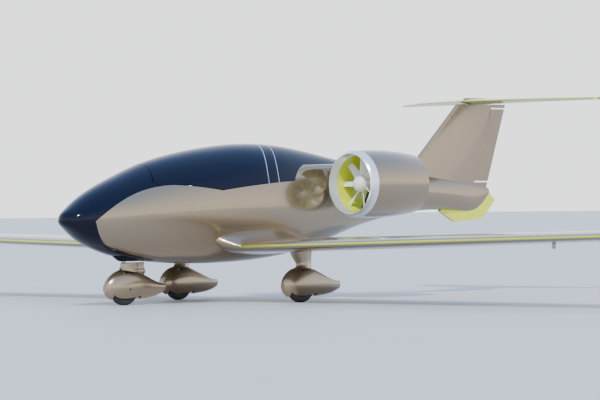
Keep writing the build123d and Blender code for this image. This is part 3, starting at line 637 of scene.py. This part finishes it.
class Palette:
    """The finishes as materials, each made once."""

    def __init__(self) -> None:
        """Start with no material made."""
        self.made: dict[str, bpy.types.Material] = {}

    def get(self, finish: Finish) -> bpy.types.Material:
        """Give the material of a finish, made on its first use.

        Args:
            finish: The finish wanted.

        Returns:
            Its material.
        """
        if finish.name not in self.made:
            self.made[finish.name] = finish.build()
        return self.made[finish.name]

    def dress(self, piece: bpy.types.Object, finish: Finish) -> None:
        """Put a finish on the whole of a piece.

        Args:
            piece: The piece to dress.
            finish: The finish that it gets.
        """
        material = self.get(finish)
        if not piece.material_slots:
            piece.data.materials.append(material)
        for slot in piece.material_slots:
            slot.material = material


def focus(*pieces: bpy.types.Object) -> None:
    """Select these pieces and nothing else, the first one active.

    Args:
        *pieces: The pieces to select.
    """
    bpy.ops.object.select_all(action="DESELECT")
    for piece in pieces:
        piece.select_set(True)
    bpy.context.view_layer.objects.active = pieces[0] if pieces else None


def settle(piece: bpy.types.Object) -> None:
    """Move a piece's place, turn and size into its mesh.

    Args:
        piece: The piece to settle at the origin.
    """
    focus(piece)
    bpy.ops.object.transform_apply(location=True, rotation=True, scale=True)


def apply_modifier(piece: bpy.types.Object, kind: str, **settings: object) -> None:
    """Add a modifier to the active piece and apply it.

    Args:
        piece: The active piece.
        kind: Blender's name for the modifier.
        **settings: The modifier's own properties.
    """
    modifier = piece.modifiers.new(kind.lower(), kind)
    for name, value in settings.items():
        setattr(modifier, name, value)
    bpy.ops.object.modifier_apply(modifier=modifier.name)


def rounded_block(
    name: str,
    centre: tuple[float, float, float],
    size: tuple[float, float, float],
    edge: float,
    tilt_degrees: float = 0.0,
) -> bpy.types.Object:
    """Add a box with rounded edges.

    Args:
        name: Name of the piece.
        centre: Its centre.
        size: Its size along X, Y and Z before it is tilted.
        edge: Width of the rounding.
        tilt_degrees: Tilt about X.

    Returns:
        The piece, settled at the origin.
    """
    bpy.ops.object.select_all(action="DESELECT")
    bpy.ops.mesh.primitive_cube_add(
        size=1, location=centre, rotation=(math.radians(tilt_degrees), 0, 0)
    )
    piece = bpy.context.active_object
    piece.name = name
    piece.scale = size
    settle(piece)
    bpy.ops.object.mode_set(mode="EDIT")
    bpy.ops.mesh.select_all(action="SELECT")
    bpy.ops.mesh.bevel(offset=edge, segments=EDGE_STEPS, affect="EDGES")
    bpy.ops.object.mode_set(mode="OBJECT")
    return piece


def choose(piece: bpy.types.Object, wanted: Callable[[Vector], bool]) -> None:
    """Select the vertices of a piece that pass a test, in edit mode.

    Args:
        piece: The active piece.
        wanted: Says of a vertex's place whether it is selected.
    """
    bpy.ops.object.mode_set(mode="EDIT")
    bpy.ops.mesh.select_mode(type="VERT")
    bpy.ops.mesh.select_all(action="DESELECT")
    bpy.ops.object.mode_set(mode="OBJECT")
    for vertex in piece.data.vertices:
        vertex.select = wanted(vertex.co)
    bpy.ops.object.mode_set(mode="EDIT")


@dataclass(frozen=True)
class Ring:
    """One section of a drawn-out form: its centre, and its half sizes along X, Y and Z."""

    centre: tuple[float, float, float]
    half: tuple[float, float, float]


class Outline(Enum):
    """What a drawn-out form's first section is cut as."""

    ROUND = "round"
    TEARDROP = "teardrop"
    BOX = "box"


# A teardrop's narrowing: from this share of the half chord aft, by this factor
TAIL_SQUEEZES = ((0.0, 0.96), (0.25, 0.9), (0.5, 0.82), (0.7, 0.72), (0.88, 0.6))
# Rounding of a box section's corners, with the half size as 1
BOX_CORNER = 0.42
BOX_CORNER_STEPS = 5
# Turns of a form's first section, and so the way that the form is drawn out
LEVEL = (0.0, 0.0, 0.0)
FACING_AFT = (math.pi / 2, 0.0, 0.0)
FACING_OUT = (0.0, math.pi / 2, 0.0)


def drawn_out(
    name: str,
    rings: list[Ring],
    turn: tuple[float, float, float],
    outline: Outline,
    corners: int = 32,
    smoothing: int = 1,
) -> bpy.types.Object:
    """Draw a form out from its first section through the others.

    Args:
        name: Name of the piece.
        rings: The sections in order.
        turn: Turn of the first section from level, in radians.
        outline: Shape of the sections.
        corners: Vertices round a section.
        smoothing: Levels of subdivision at the end.

    Returns:
        The piece, settled at the origin.
    """
    bpy.ops.object.select_all(action="DESELECT")
    first = rings[0]
    if outline is Outline.BOX:
        bpy.ops.mesh.primitive_plane_add(size=2, location=first.centre, rotation=turn)
    else:
        bpy.ops.mesh.primitive_circle_add(
            vertices=corners, radius=1, fill_type="NGON", location=first.centre, rotation=turn
        )
    piece = bpy.context.active_object
    piece.name = name
    settle(piece)
    bpy.ops.object.mode_set(mode="EDIT")
    bpy.ops.mesh.select_mode(type="VERT")
    bpy.ops.mesh.select_all(action="SELECT")
    if outline is Outline.BOX:
        bpy.ops.mesh.bevel(offset=BOX_CORNER, segments=BOX_CORNER_STEPS, affect="VERTICES")
        bpy.ops.mesh.select_all(action="SELECT")
    bpy.ops.transform.resize(value=first.half, center_override=first.centre)
    if outline is Outline.TEARDROP:
        across = 0 if turn[1] == 0 else 2
        for reach, squeeze in TAIL_SQUEEZES:
            aft_of = first.centre[1] + reach * first.half[1]
            choose(piece, lambda place: place.y > aft_of)
            value = [1.0, 1.0, 1.0]
            value[across] = squeeze
            bpy.ops.transform.resize(value=value, center_override=first.centre)
        bpy.ops.mesh.select_all(action="SELECT")
    bpy.ops.mesh.select_mode(type="FACE")
    bpy.ops.mesh.select_all(action="SELECT")
    for before, after in zip(rings, rings[1:]):
        step = Vector(after.centre) - Vector(before.centre)
        bpy.ops.mesh.extrude_region_move(TRANSFORM_OT_translate={"value": step})
        value = [b / a for a, b in zip(before.half, after.half)]
        bpy.ops.transform.resize(value=value, center_override=after.centre)
    bpy.ops.mesh.select_all(action="SELECT")
    bpy.ops.mesh.normals_make_consistent(inside=False)
    bpy.ops.object.mode_set(mode="OBJECT")
    if smoothing:
        apply_modifier(piece, "SUBSURF", levels=smoothing)
    bpy.ops.object.shade_smooth_by_angle(angle=SMOOTH_ANGLE)
    return piece


def mirrored(piece: bpy.types.Object, name: str) -> bpy.types.Object:
    """Copy a port piece to the starboard side.

    Args:
        piece: The port piece.
        name: Name of the copy.

    Returns:
        The copy, with its own mesh and outward normals.
    """
    focus(piece)
    bpy.ops.object.duplicate(linked=False)
    copy = bpy.context.active_object
    copy.name = name
    bpy.ops.object.mode_set(mode="EDIT")
    bpy.ops.mesh.select_all(action="SELECT")
    bpy.ops.transform.resize(value=(-1, 1, 1), center_override=(0, 0, 0))
    bpy.ops.mesh.flip_normals()
    bpy.ops.object.mode_set(mode="OBJECT")
    return copy


def station(place_mm: float) -> float:
    """Turn a distance aft of the nose tip into Y.

    Args:
        place_mm: Distance aft of the nose tip in millimetres.

    Returns:
        Y in metres.
    """
    return place_mm * MM - HALF_LENGTH


@dataclass
class Fuselage:
    """Lower body, nose, roof and canopy."""

    painted: tuple[str, ...] = ("fuselage_shell", "tail_boom")
    dark: tuple[str, ...] = ("nose_cowl", "rear_roof", "canopy")

    def build(self, palette: Palette) -> None:
        """Dress the body panels.

        Args:
            palette: The finishes.
        """
        for node in self.painted:
            palette.dress(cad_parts[node], PEARL_PAINT)
        for node in self.dark:
            palette.dress(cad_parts[node], NAVY_GLOSS)


@dataclass(frozen=True)
class Pad:
    """A cushion's place, size and tilt about X before it swells."""

    name: str
    centre: tuple[float, float, float]
    size: tuple[float, float, float]
    tilt_degrees: float
    finish: Finish
    # Farthest that the filling may push the cover out
    swell: float = 0.014

    def sewn(self) -> bpy.types.Object:
        """Cut the cushion as a closed cover of even panels.

        Returns:
            The cover, settled at the origin.
        """
        piece = rounded_block(self.name, self.centre, self.size, PAD_SEAM, self.tilt_degrees)
        piece.data.remesh_voxel_size = PAD_VOXEL
        bpy.ops.object.voxel_remesh()
        return piece

    def blown(self, piece: bpy.types.Object) -> None:
        """Fill the cover with air pressure in a cloth simulation, and keep the result.

        Args:
            piece: The cover.
        """
        before = [vertex.co.copy() for vertex in piece.data.vertices]
        cloth = piece.modifiers.new("filling", "CLOTH")
        cloth.settings.use_pressure = True
        cloth.settings.uniform_pressure_force = PAD_PRESSURE
        cloth.settings.effector_weights.gravity = 0.0
        for step in range(1, PAD_STEPS + 1):
            bpy.context.scene.frame_set(step)
        focus(piece)
        bpy.ops.object.modifier_apply(modifier=cloth.name)
        bpy.context.scene.frame_set(1)
        for vertex, old in zip(piece.data.vertices, before):
            move = vertex.co - old
            if move.length > self.swell:
                vertex.co = old + move * (self.swell / move.length)

    def build(self, palette: Palette) -> bpy.types.Object:
        """Make the cushion.

        Args:
            palette: The finishes.

        Returns:
            The finished cushion.
        """
        piece = self.sewn()
        self.blown(piece)
        focus(piece)
        apply_modifier(piece, "SUBSURF", levels=1)
        bpy.ops.object.shade_smooth()
        palette.dress(piece, self.finish)
        return piece


@dataclass
class Cabin:
    """What shows when the canopy is open."""

    pads: tuple[Pad, ...] = (
        Pad("seat_cushion", (SEAT_X, -1.165, 0.672), (0.36, 0.43, 0.075), -7.1, SEAT_CLOTH),
        Pad("back_cushion", (SEAT_X, -0.742, 0.915), (0.34, 0.045, 0.46), SEAT_TILT, SEAT_CLOTH),
        Pad("head_cushion", (SEAT_X, -0.588, 1.165), (0.22, 0.045, 0.10), SEAT_TILT, ACCENT_CLOTH),
    )
    pad_fill: float = 0.75
    # The seat's sheet before it is folded, and each fold's way from the rear edge up
    sheet_centre: tuple[float, float, float] = (SEAT_X, -1.12, 0.605)
    sheet_size: tuple[float, float, float] = (0.37, 0.50, 1.0)
    rear_drop: float = -0.03
    folds: tuple[tuple[float, float, float], ...] = (
        (0, 0.07, 0.06), (0, 0.26, 0.50), (0, 0.02, 0.05)
    )
    head_taper: float = 0.7
    front_lip: tuple[float, float, float] = (0, -0.012, -0.04)
    shell_wall: float = 0.014
    shell_edge: float = 0.004
    base_y: float = -1.14
    # Seat base: height, and half sizes along X and Y
    base: tuple[tuple[float, float, float], ...] = (
        (0.531, 0.16, 0.2), (0.536, 0.16, 0.2), (0.545, 0.14, 0.18), (0.59, 0.13, 0.17)
    )
    panel_station: float = 1210
    # X, distance off the panel and height of the port display's centre
    display_place: tuple[float, float, float] = (0.17, 0.006, 1.06)
    display_size: tuple[float, float, float] = (0.29, 0.014, 0.20)
    display_edge: float = 0.003
    display_frame: float = 0.014
    glass_chamfer: float = 0.002
    glass_depth: float = 0.003
    # X and height of the first knob
    knob_place: tuple[float, float] = (-0.1, 0.91)
    knob_count: int = 5
    knob_step: float = 0.05
    # Knob sections: distance off the panel, and radius
    knob: tuple[tuple[float, float], ...] = (
        (-0.002, 0.015), (0.003, 0.015), (0.004, 0.011), (0.014, 0.010)
    )
    # X in metres and station of the port stick
    stick_place: tuple[float, float] = (0.235, 1640)
    grip_depth: float = 1.2
    # Grip sections: height and half width, whose half depth is grip_depth times that
    grip: tuple[tuple[float, float], ...] = (
        (0.765, 0.016), (0.775, 0.022), (0.81, 0.019), (0.85, 0.023), (0.885, 0.021),
        (0.889, 0.015),
    )

    def add_pads(self, palette: Palette) -> None:
        """Make each cushion once and copy it to the other seat.

        Args:
            palette: The finishes.
        """
        for pad in self.pads:
            port = pad.build(palette)
            port.name = pad.name + "_port"
            for piece in (port, mirrored(port, pad.name + "_starboard")):
                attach(piece, "airframe")
                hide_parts("seats")

    def add_shells(self, palette: Palette) -> None:
        """Fold each seat's hard shell from a sheet, and set it on its base.

        Args:
            palette: The finishes.
        """
        bpy.ops.object.select_all(action="DESELECT")
        bpy.ops.mesh.primitive_plane_add(size=1, location=self.sheet_centre)
        shell = bpy.context.active_object
        shell.name = "seat_shell_port"
        shell.scale = self.sheet_size
        settle(shell)
        middle_y = self.sheet_centre[1]
        choose(shell, lambda place: place.y > middle_y)
        bpy.ops.transform.translate(value=(0, 0, self.rear_drop))
        for fold in self.folds:
            bpy.ops.mesh.extrude_region_move(TRANSFORM_OT_translate={"value": fold})
        bpy.ops.transform.resize(
            value=(self.head_taper, 1, 1), center_override=(SEAT_X, 0, 0)
        )
        choose(shell, lambda place: place.y < middle_y)
        bpy.ops.mesh.extrude_region_move(TRANSFORM_OT_translate={"value": self.front_lip})
        bpy.ops.object.mode_set(mode="OBJECT")
        apply_modifier(shell, "SOLIDIFY", thickness=self.shell_wall)
        apply_modifier(shell, "BEVEL", width=self.shell_edge, segments=EDGE_STEPS)
        apply_modifier(shell, "SUBSURF", levels=1)
        bpy.ops.object.shade_smooth_by_angle(angle=SMOOTH_ANGLE)
        rings = [
            Ring((SEAT_X, self.base_y, height), (half_x, half_y, 1.0))
            for height, half_x, half_y in self.base
        ]
        base = drawn_out("seat_base_port", rings, LEVEL, Outline.BOX)
        for piece in (shell, base):
            palette.dress(piece, CABIN_PLASTIC)
            for each in (piece, mirrored(piece, piece.name.replace("port", "starboard"))):
                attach(each, "airframe")
                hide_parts("seats")

    def add_panel(self, palette: Palette) -> None:
        """Set displays and knobs on the instrument panel.

        Args:
            palette: The finishes.
        """
        face_y = station(self.panel_station)
        x, out, height = self.display_place
        display = rounded_block(
            "display_port", (x, face_y + out, height), self.display_size, self.display_edge
        )
        palette.dress(display, CABIN_PLASTIC)
        display.data.materials.append(palette.get(SCREEN_GLASS))
        bpy.ops.object.mode_set(mode="EDIT")
        bpy.ops.mesh.select_mode(type="FACE")
        bpy.ops.mesh.select_all(action="DESELECT")
        bpy.ops.object.mode_set(mode="OBJECT")
        for polygon in display.data.polygons:
            polygon.select = polygon.normal.y > FACES_AFT
        bpy.ops.object.mode_set(mode="EDIT")
        bpy.ops.mesh.inset(thickness=self.display_frame, depth=0.0)
        bpy.ops.mesh.inset(thickness=self.glass_chamfer, depth=-self.glass_depth)
        display.active_material_index = 1
        bpy.ops.object.material_slot_assign()
        bpy.ops.object.mode_set(mode="OBJECT")
        bpy.ops.object.shade_smooth_by_angle(angle=SMOOTH_ANGLE)
        other = mirrored(display, "display_starboard")
        knob_x, knob_z = self.knob_place
        rings = [
            Ring((knob_x, face_y + out, knob_z), (radius, 1.0, radius))
            for out, radius in self.knob
        ]
        knobs = drawn_out("panel_knobs", rings, FACING_AFT, Outline.ROUND, smoothing=0)
        apply_modifier(
            knobs,
            "ARRAY",
            count=self.knob_count,
            use_relative_offset=False,
            use_constant_offset=True,
            constant_offset_displace=(self.knob_step, 0, 0),
        )
        palette.dress(knobs, RIM_ALLOY)
        for piece, slot in (
            (display, Slot.PLASTIC), (other, Slot.PLASTIC), (knobs, Slot.RIM)
        ):
            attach(piece, "airframe")

    def add_grips(self, palette: Palette) -> None:
        """Put a moulded grip on each control stick.

        Args:
            palette: The finishes.
        """
        stick_x, stick_station = self.stick_place
        rings = [
            Ring(
                (stick_x, station(stick_station), height),
                (radius, radius * self.grip_depth, 1.0),
            )
            for height, radius in self.grip
        ]
        port = drawn_out("stick_grip_port", rings, LEVEL, Outline.ROUND)
        palette.dress(port, TYRE_RUBBER)
        for piece in (port, mirrored(port, "stick_grip_starboard")):
            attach(piece, "airframe")

    def build(self, palette: Palette) -> None:
        """Dress and furnish the cabin.

        Args:
            palette: The finishes.
        """
        for node in ("cabin_floor", "instrument_panel", "control_sticks"):
            palette.dress(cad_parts[node], CABIN_PLASTIC)
        palette.dress(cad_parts["battery_pack"], BATTERY_POWDER)
        self.add_pads(palette)
        self.add_shells(palette)
        self.add_panel(palette)
        self.add_grips(palette)


@dataclass
class Wings:
    """Both wings with their flaps, ailerons and root fairings."""

    # Root fairing in millimetres: distance out, front station, chord, thickness, middle height
    root: tuple[tuple[float, float, float, float, float], ...] = (
        (380, 1640, 1360, 380, 690),
        (480, 1684, 1326, 330, 668),
        (540, 1728, 1288, 275, 645),
        (600, 1780, 1240, 218, 622),
        (650, 1822, 1196, 174, 604),
        (690, 1846, 1160, 150, 597),
        (705, 1870, 1130, 130, 597),
    )
    root_corners: int = 48

    def add_root_fairings(self, palette: Palette) -> None:
        """Blend each wing's root into the body.

        Args:
            palette: The finishes.
        """
        rings = [
            Ring(
                (out * MM, station(front + chord / 2), height * MM),
                (1.0, chord / 2 * MM, thickness / 2 * MM),
            )
            for out, front, chord, thickness, height in self.root
        ]
        port = drawn_out("wing_root_port", rings, FACING_OUT, Outline.TEARDROP, self.root_corners)
        for piece in (port, mirrored(port, "wing_root_starboard")):
            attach(piece, "airframe")
            palette.dress(piece, PEARL_PAINT)

    def build(self, palette: Palette) -> None:
        """Dress the wings.

        Args:
            palette: The finishes.
        """
        self.add_root_fairings(palette)
        for side in Side:
            for part in ("wing", "flap", "aileron"):
                palette.dress(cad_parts[f"{part}_{side.word}"], WING_PAINT)


@dataclass
class DuctedFans:
    """Nacelles, lips, liners, motor pods, fans and the shoulders that carry them."""

    # Shoulder sections: station, outer face, top and bottom, in millimetres
    shoulder: tuple[tuple[float, float, float, float], ...] = (
        (2815, 450, 1322, 1225),
        (2840, 462, 1350, 1215),
        (2889, 468, 1397, 1200),
        (2960, 468, 1434, 1180),
        (3036, 465, 1458, 1170),
        (3314, 455, 1464, 1130),
        (3560, 445, 1468, 1130),
        (3900, 380, 1466, 1140),
        (4150, 300, 1430, 1160),
        (4350, 225, 1395, 1180),
    )
    shoulder_inner: float = 150

    def add_shoulders(self, palette: Palette) -> None:
        """Shape the shoulder between the body and each nacelle.

        Args:
            palette: The finishes.
        """
        rings = []
        inner = self.shoulder_inner
        for place, outer, top, bottom in self.shoulder:
            middle = ((outer + inner) / 2 * MM, station(place), (top + bottom) / 2 * MM)
            half = ((outer - inner) / 2 * MM, 1.0, (top - bottom) / 2 * MM)
            rings.append(Ring(middle, half))
        port = drawn_out("shoulder_port", rings, FACING_AFT, Outline.BOX)
        for piece in (port, mirrored(port, "shoulder_starboard")):
            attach(piece, "airframe")
            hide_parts("pylons")
            palette.dress(piece, PEARL_PAINT)

    def build(self, palette: Palette) -> None:
        """Dress the ducted fans.

        Args:
            palette: The finishes.
        """
        self.add_shoulders(palette)
        for node, finish in (
            ("nacelle_port", PEARL_PAINT),
            ("nacelle_starboard", PEARL_PAINT),
            ("duct_lips", LIP_METAL),
            ("duct_liners", LIME_ENAMEL),
            ("motor_pods", POD_METAL),
            ("fan_port", FAN_PAINT),
            ("fan_starboard", FAN_PAINT),
        ):
            palette.dress(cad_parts[node], finish)


@dataclass
class Tail:
    """Fin, rudder, tailplane, elevator and bumper."""

    def build(self, palette: Palette) -> None:
        """Dress the tail.

        Args:
            palette: The finishes.
        """
        for node, finish in (
            ("fin", PEARL_PAINT),
            ("rudder", PEARL_PAINT),
            ("tailplane", TAIL_PAINT),
            ("elevator", TAIL_PAINT),
            ("tail_bumper", LIME_ENAMEL),
        ):
            palette.dress(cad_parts[node], finish)


@dataclass
class LandingGear:
    """Legs, spats, wheels and axles."""

    # Sections in millimetres: front edge aft of the axle, chord, thickness, height
    main_leg: tuple[tuple[float, float, float, float], ...] = (
        (-160, 345, 96, 590),
        (-150, 330, 88, 560),
        (-134, 300, 76, 505),
        (-80, 240, 60, 440),
        (-44, 206, 54, 398),
        (-66, 226, 84, 362),
        (-76, 238, 96, 350),
    )
    nose_leg: tuple[tuple[float, float, float, float], ...] = (
        (-36, 322, 98, 446),
        (-42, 328, 106, 441),
        (-44, 320, 100, 405),
        (-54, 340, 104, 376),
        (-76, 374, 112, 354),
        (-96, 404, 118, 336),
    )
    cuff: tuple[tuple[float, float, float, float], ...] = (
        (-50, 340, 130, 456),
        (-70, 370, 152, 463),
        (-110, 430, 164, 490),
        (-150, 480, 170, 515),
        (-160, 490, 170, 550),
    )
    # X and station of the wheels
    main_place: tuple[float, float] = (995, 2404)
    nose_place: tuple[float, float] = (0, 819)
    # Rear foot of the nose leg's fairing, let down into the spat
    skirt_front: float = 150
    skirt_top: float = 345
    skirt_drop: float = 40
    tube_radius: float = 24
    tube_ends: tuple[float, float] = (400, 596)

    def leg(
        self, name: str, place: tuple[float, float], table: tuple[tuple[float, ...], ...]
    ) -> bpy.types.Object:
        """Draw a streamlined form through level sections.

        Args:
            name: Name of the piece.
            place: X and station of the wheel.
            table: The sections.

        Returns:
            The piece.
        """
        rings = [
            Ring(
                (place[0] * MM, station(place[1] + front + chord / 2), height * MM),
                (thickness / 2 * MM, chord / 2 * MM, 1.0),
            )
            for front, chord, thickness, height in table
        ]
        return drawn_out(name, rings, LEVEL, Outline.TEARDROP)

    def add_legs(self, palette: Palette) -> None:
        """Shape the legs, the cuff over the nose leg and its steering tube.

        Args:
            palette: The finishes.
        """
        port = self.leg("main_leg_port", self.main_place, self.main_leg)
        for piece in (port, mirrored(port, "main_leg_starboard")):
            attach(piece, "airframe")
            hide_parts("main_legs")
            palette.dress(piece, PEARL_PAINT)
        nose = self.leg("nose_leg_fairing", self.nose_place, self.nose_leg)
        axle_x, axle_station = self.nose_place
        front, top = station(axle_station + self.skirt_front), self.skirt_top * MM
        choose(nose, lambda place: place.z < top and place.y > front)
        bpy.ops.transform.translate(value=(0, 0, -self.skirt_drop * MM))
        bpy.ops.object.mode_set(mode="OBJECT")
        palette.dress(nose, PEARL_PAINT)
        radius = self.tube_radius * MM
        rings = [
            Ring((axle_x * MM, station(axle_station), height * MM), (radius, radius, 1.0))
            for height in self.tube_ends
        ]
        tube = drawn_out("steering_tube", rings, LEVEL, Outline.ROUND, smoothing=0)
        palette.dress(tube, AXLE_STEEL)
        for piece in (nose, tube):
            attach(piece, "nose_gear")
            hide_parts("nose_leg")
        cuff = self.leg("nose_leg_cuff", self.nose_place, self.cuff)
        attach(cuff, "airframe")
        palette.dress(cuff, NAVY_GLOSS)

    def build(self, palette: Palette) -> None:
        """Dress the landing gear.

        Args:
            palette: The finishes.
        """
        self.add_legs(palette)
        for leg, ends in (("nose", ("",)), ("main", ("_port", "_starboard"))):
            for end in ends:
                palette.dress(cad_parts[f"{leg}_spat{end}"], PEARL_PAINT)
                palette.dress(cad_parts[f"{leg}_tyre{end}"], TYRE_RUBBER)
                palette.dress(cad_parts[f"{leg}_rim{end}"], RIM_ALLOY)
        palette.dress(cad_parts["main_axles"], AXLE_STEEL)
        palette.dress(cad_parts["nose_axle"], AXLE_STEEL)


@dataclass
class Studio:
    """Floor, light and camera."""

    floor_size: float = 400.0
    floor_cells: int = 4
    eye: tuple[float, float, float] = (26.96, -24.516, 1.049)
    look: tuple[float, float] = (-0.7395, 0.673)
    lens_mm: float = 200.0
    horizon_row: float = 202.7
    picture: tuple[int, int] = (600, 400)
    roll_degrees: float = 0.65
    far_clip: float = 1000.0
    # Surround: height on the sky's unit sphere and colour
    sky: tuple[tuple[float, str], ...] = ((0.12, "F7F8FA"), (0.75, "8FB0E4"))
    sky_strength: float = 2.2
    sun_place: tuple[float, float, float] = (12, -14, 18)
    sun_from: tuple[float, float, float] = (0.47, -0.52, 0.71)
    sun_energy: float = 3.6
    sun_degrees: float = 3.0

    def add_floor(self, palette: Palette) -> None:
        """Lay the floor.

        Args:
            palette: The finishes.
        """
        bpy.ops.mesh.primitive_grid_add(
            x_subdivisions=self.floor_cells,
            y_subdivisions=self.floor_cells,
            size=self.floor_size,
            location=(0, 0, 0),
        )
        floor = bpy.context.active_object
        floor.name = "studio_floor"
        settle(floor)
        palette.dress(floor, FLOOR_PAINT)

    def add_light(self) -> None:
        """Light the studio: a pale surround and one soft key light."""
        world = bpy.data.worlds.new("studio_surround")
        world.use_nodes = True
        tree = world.node_tree
        tree.nodes.clear()
        way = add_node(tree, "TexCoord").outputs["Generated"]
        rise = add_node(tree, "SeparateXYZ", {0: way}).outputs[2]
        ramp = add_node(tree, "ValToRGB", {0: rise})
        for element, (position, colour) in zip(ramp.color_ramp.elements, self.sky):
            element.position, element.color = position, linear(colour)
        glow = add_node(
            tree, "Background", {"Color": ramp.outputs[0], "Strength": self.sky_strength}
        )
        add_node(tree, "OutputWorld", {"Surface": glow.outputs[0]})
        bpy.context.scene.world = world
        bpy.ops.object.light_add(type="SUN", location=self.sun_place)
        key = bpy.context.active_object
        key.name = "key_light"
        key.data.energy = self.sun_energy
        key.data.angle = math.radians(self.sun_degrees)
        key.rotation_euler = Vector(self.sun_from).to_track_quat("Z", "Y").to_euler()

    def add_camera(self) -> None:
        """Stand the camera where the photograph was taken from."""
        bpy.ops.object.camera_add()
        camera = bpy.context.active_object
        camera.data.lens = self.lens_mm
        focal = self.picture[0] * self.lens_mm / camera.data.sensor_width
        rise = (self.horizon_row - self.picture[1] / 2) / focal
        ahead = Vector((*self.look, rise)).normalized()
        level = ahead.cross(Vector((0, 0, 1))).normalized()
        up = level.cross(ahead)
        roll = math.radians(self.roll_degrees)
        right = level * math.cos(roll) - up * math.sin(roll)
        top = up * math.cos(roll) + level * math.sin(roll)
        turn = Matrix((right, top, -ahead)).transposed()
        camera.matrix_world = Matrix.Translation(self.eye) @ turn.to_4x4()
        camera.data.clip_end = self.far_clip
        bpy.context.scene.camera = camera

    def build(self, palette: Palette) -> None:
        """Set up the studio.

        Args:
            palette: The finishes.
        """
        self.add_floor(palette)
        self.add_light()
        self.add_camera()


def main() -> None:
    """Build the airplane's sub-assemblies in order."""
    logging.basicConfig(level=logging.INFO)
    bpy.ops.object.select_all(action="DESELECT")
    palette = Palette()
    for part in (
        Studio(), Fuselage(), Cabin(), Wings(), DuctedFans(), Tail(), LandingGear()
    ):
        part.build(palette)
        LOG.info("built %s", type(part).__name__)


if __name__ == "__main__":
    main()
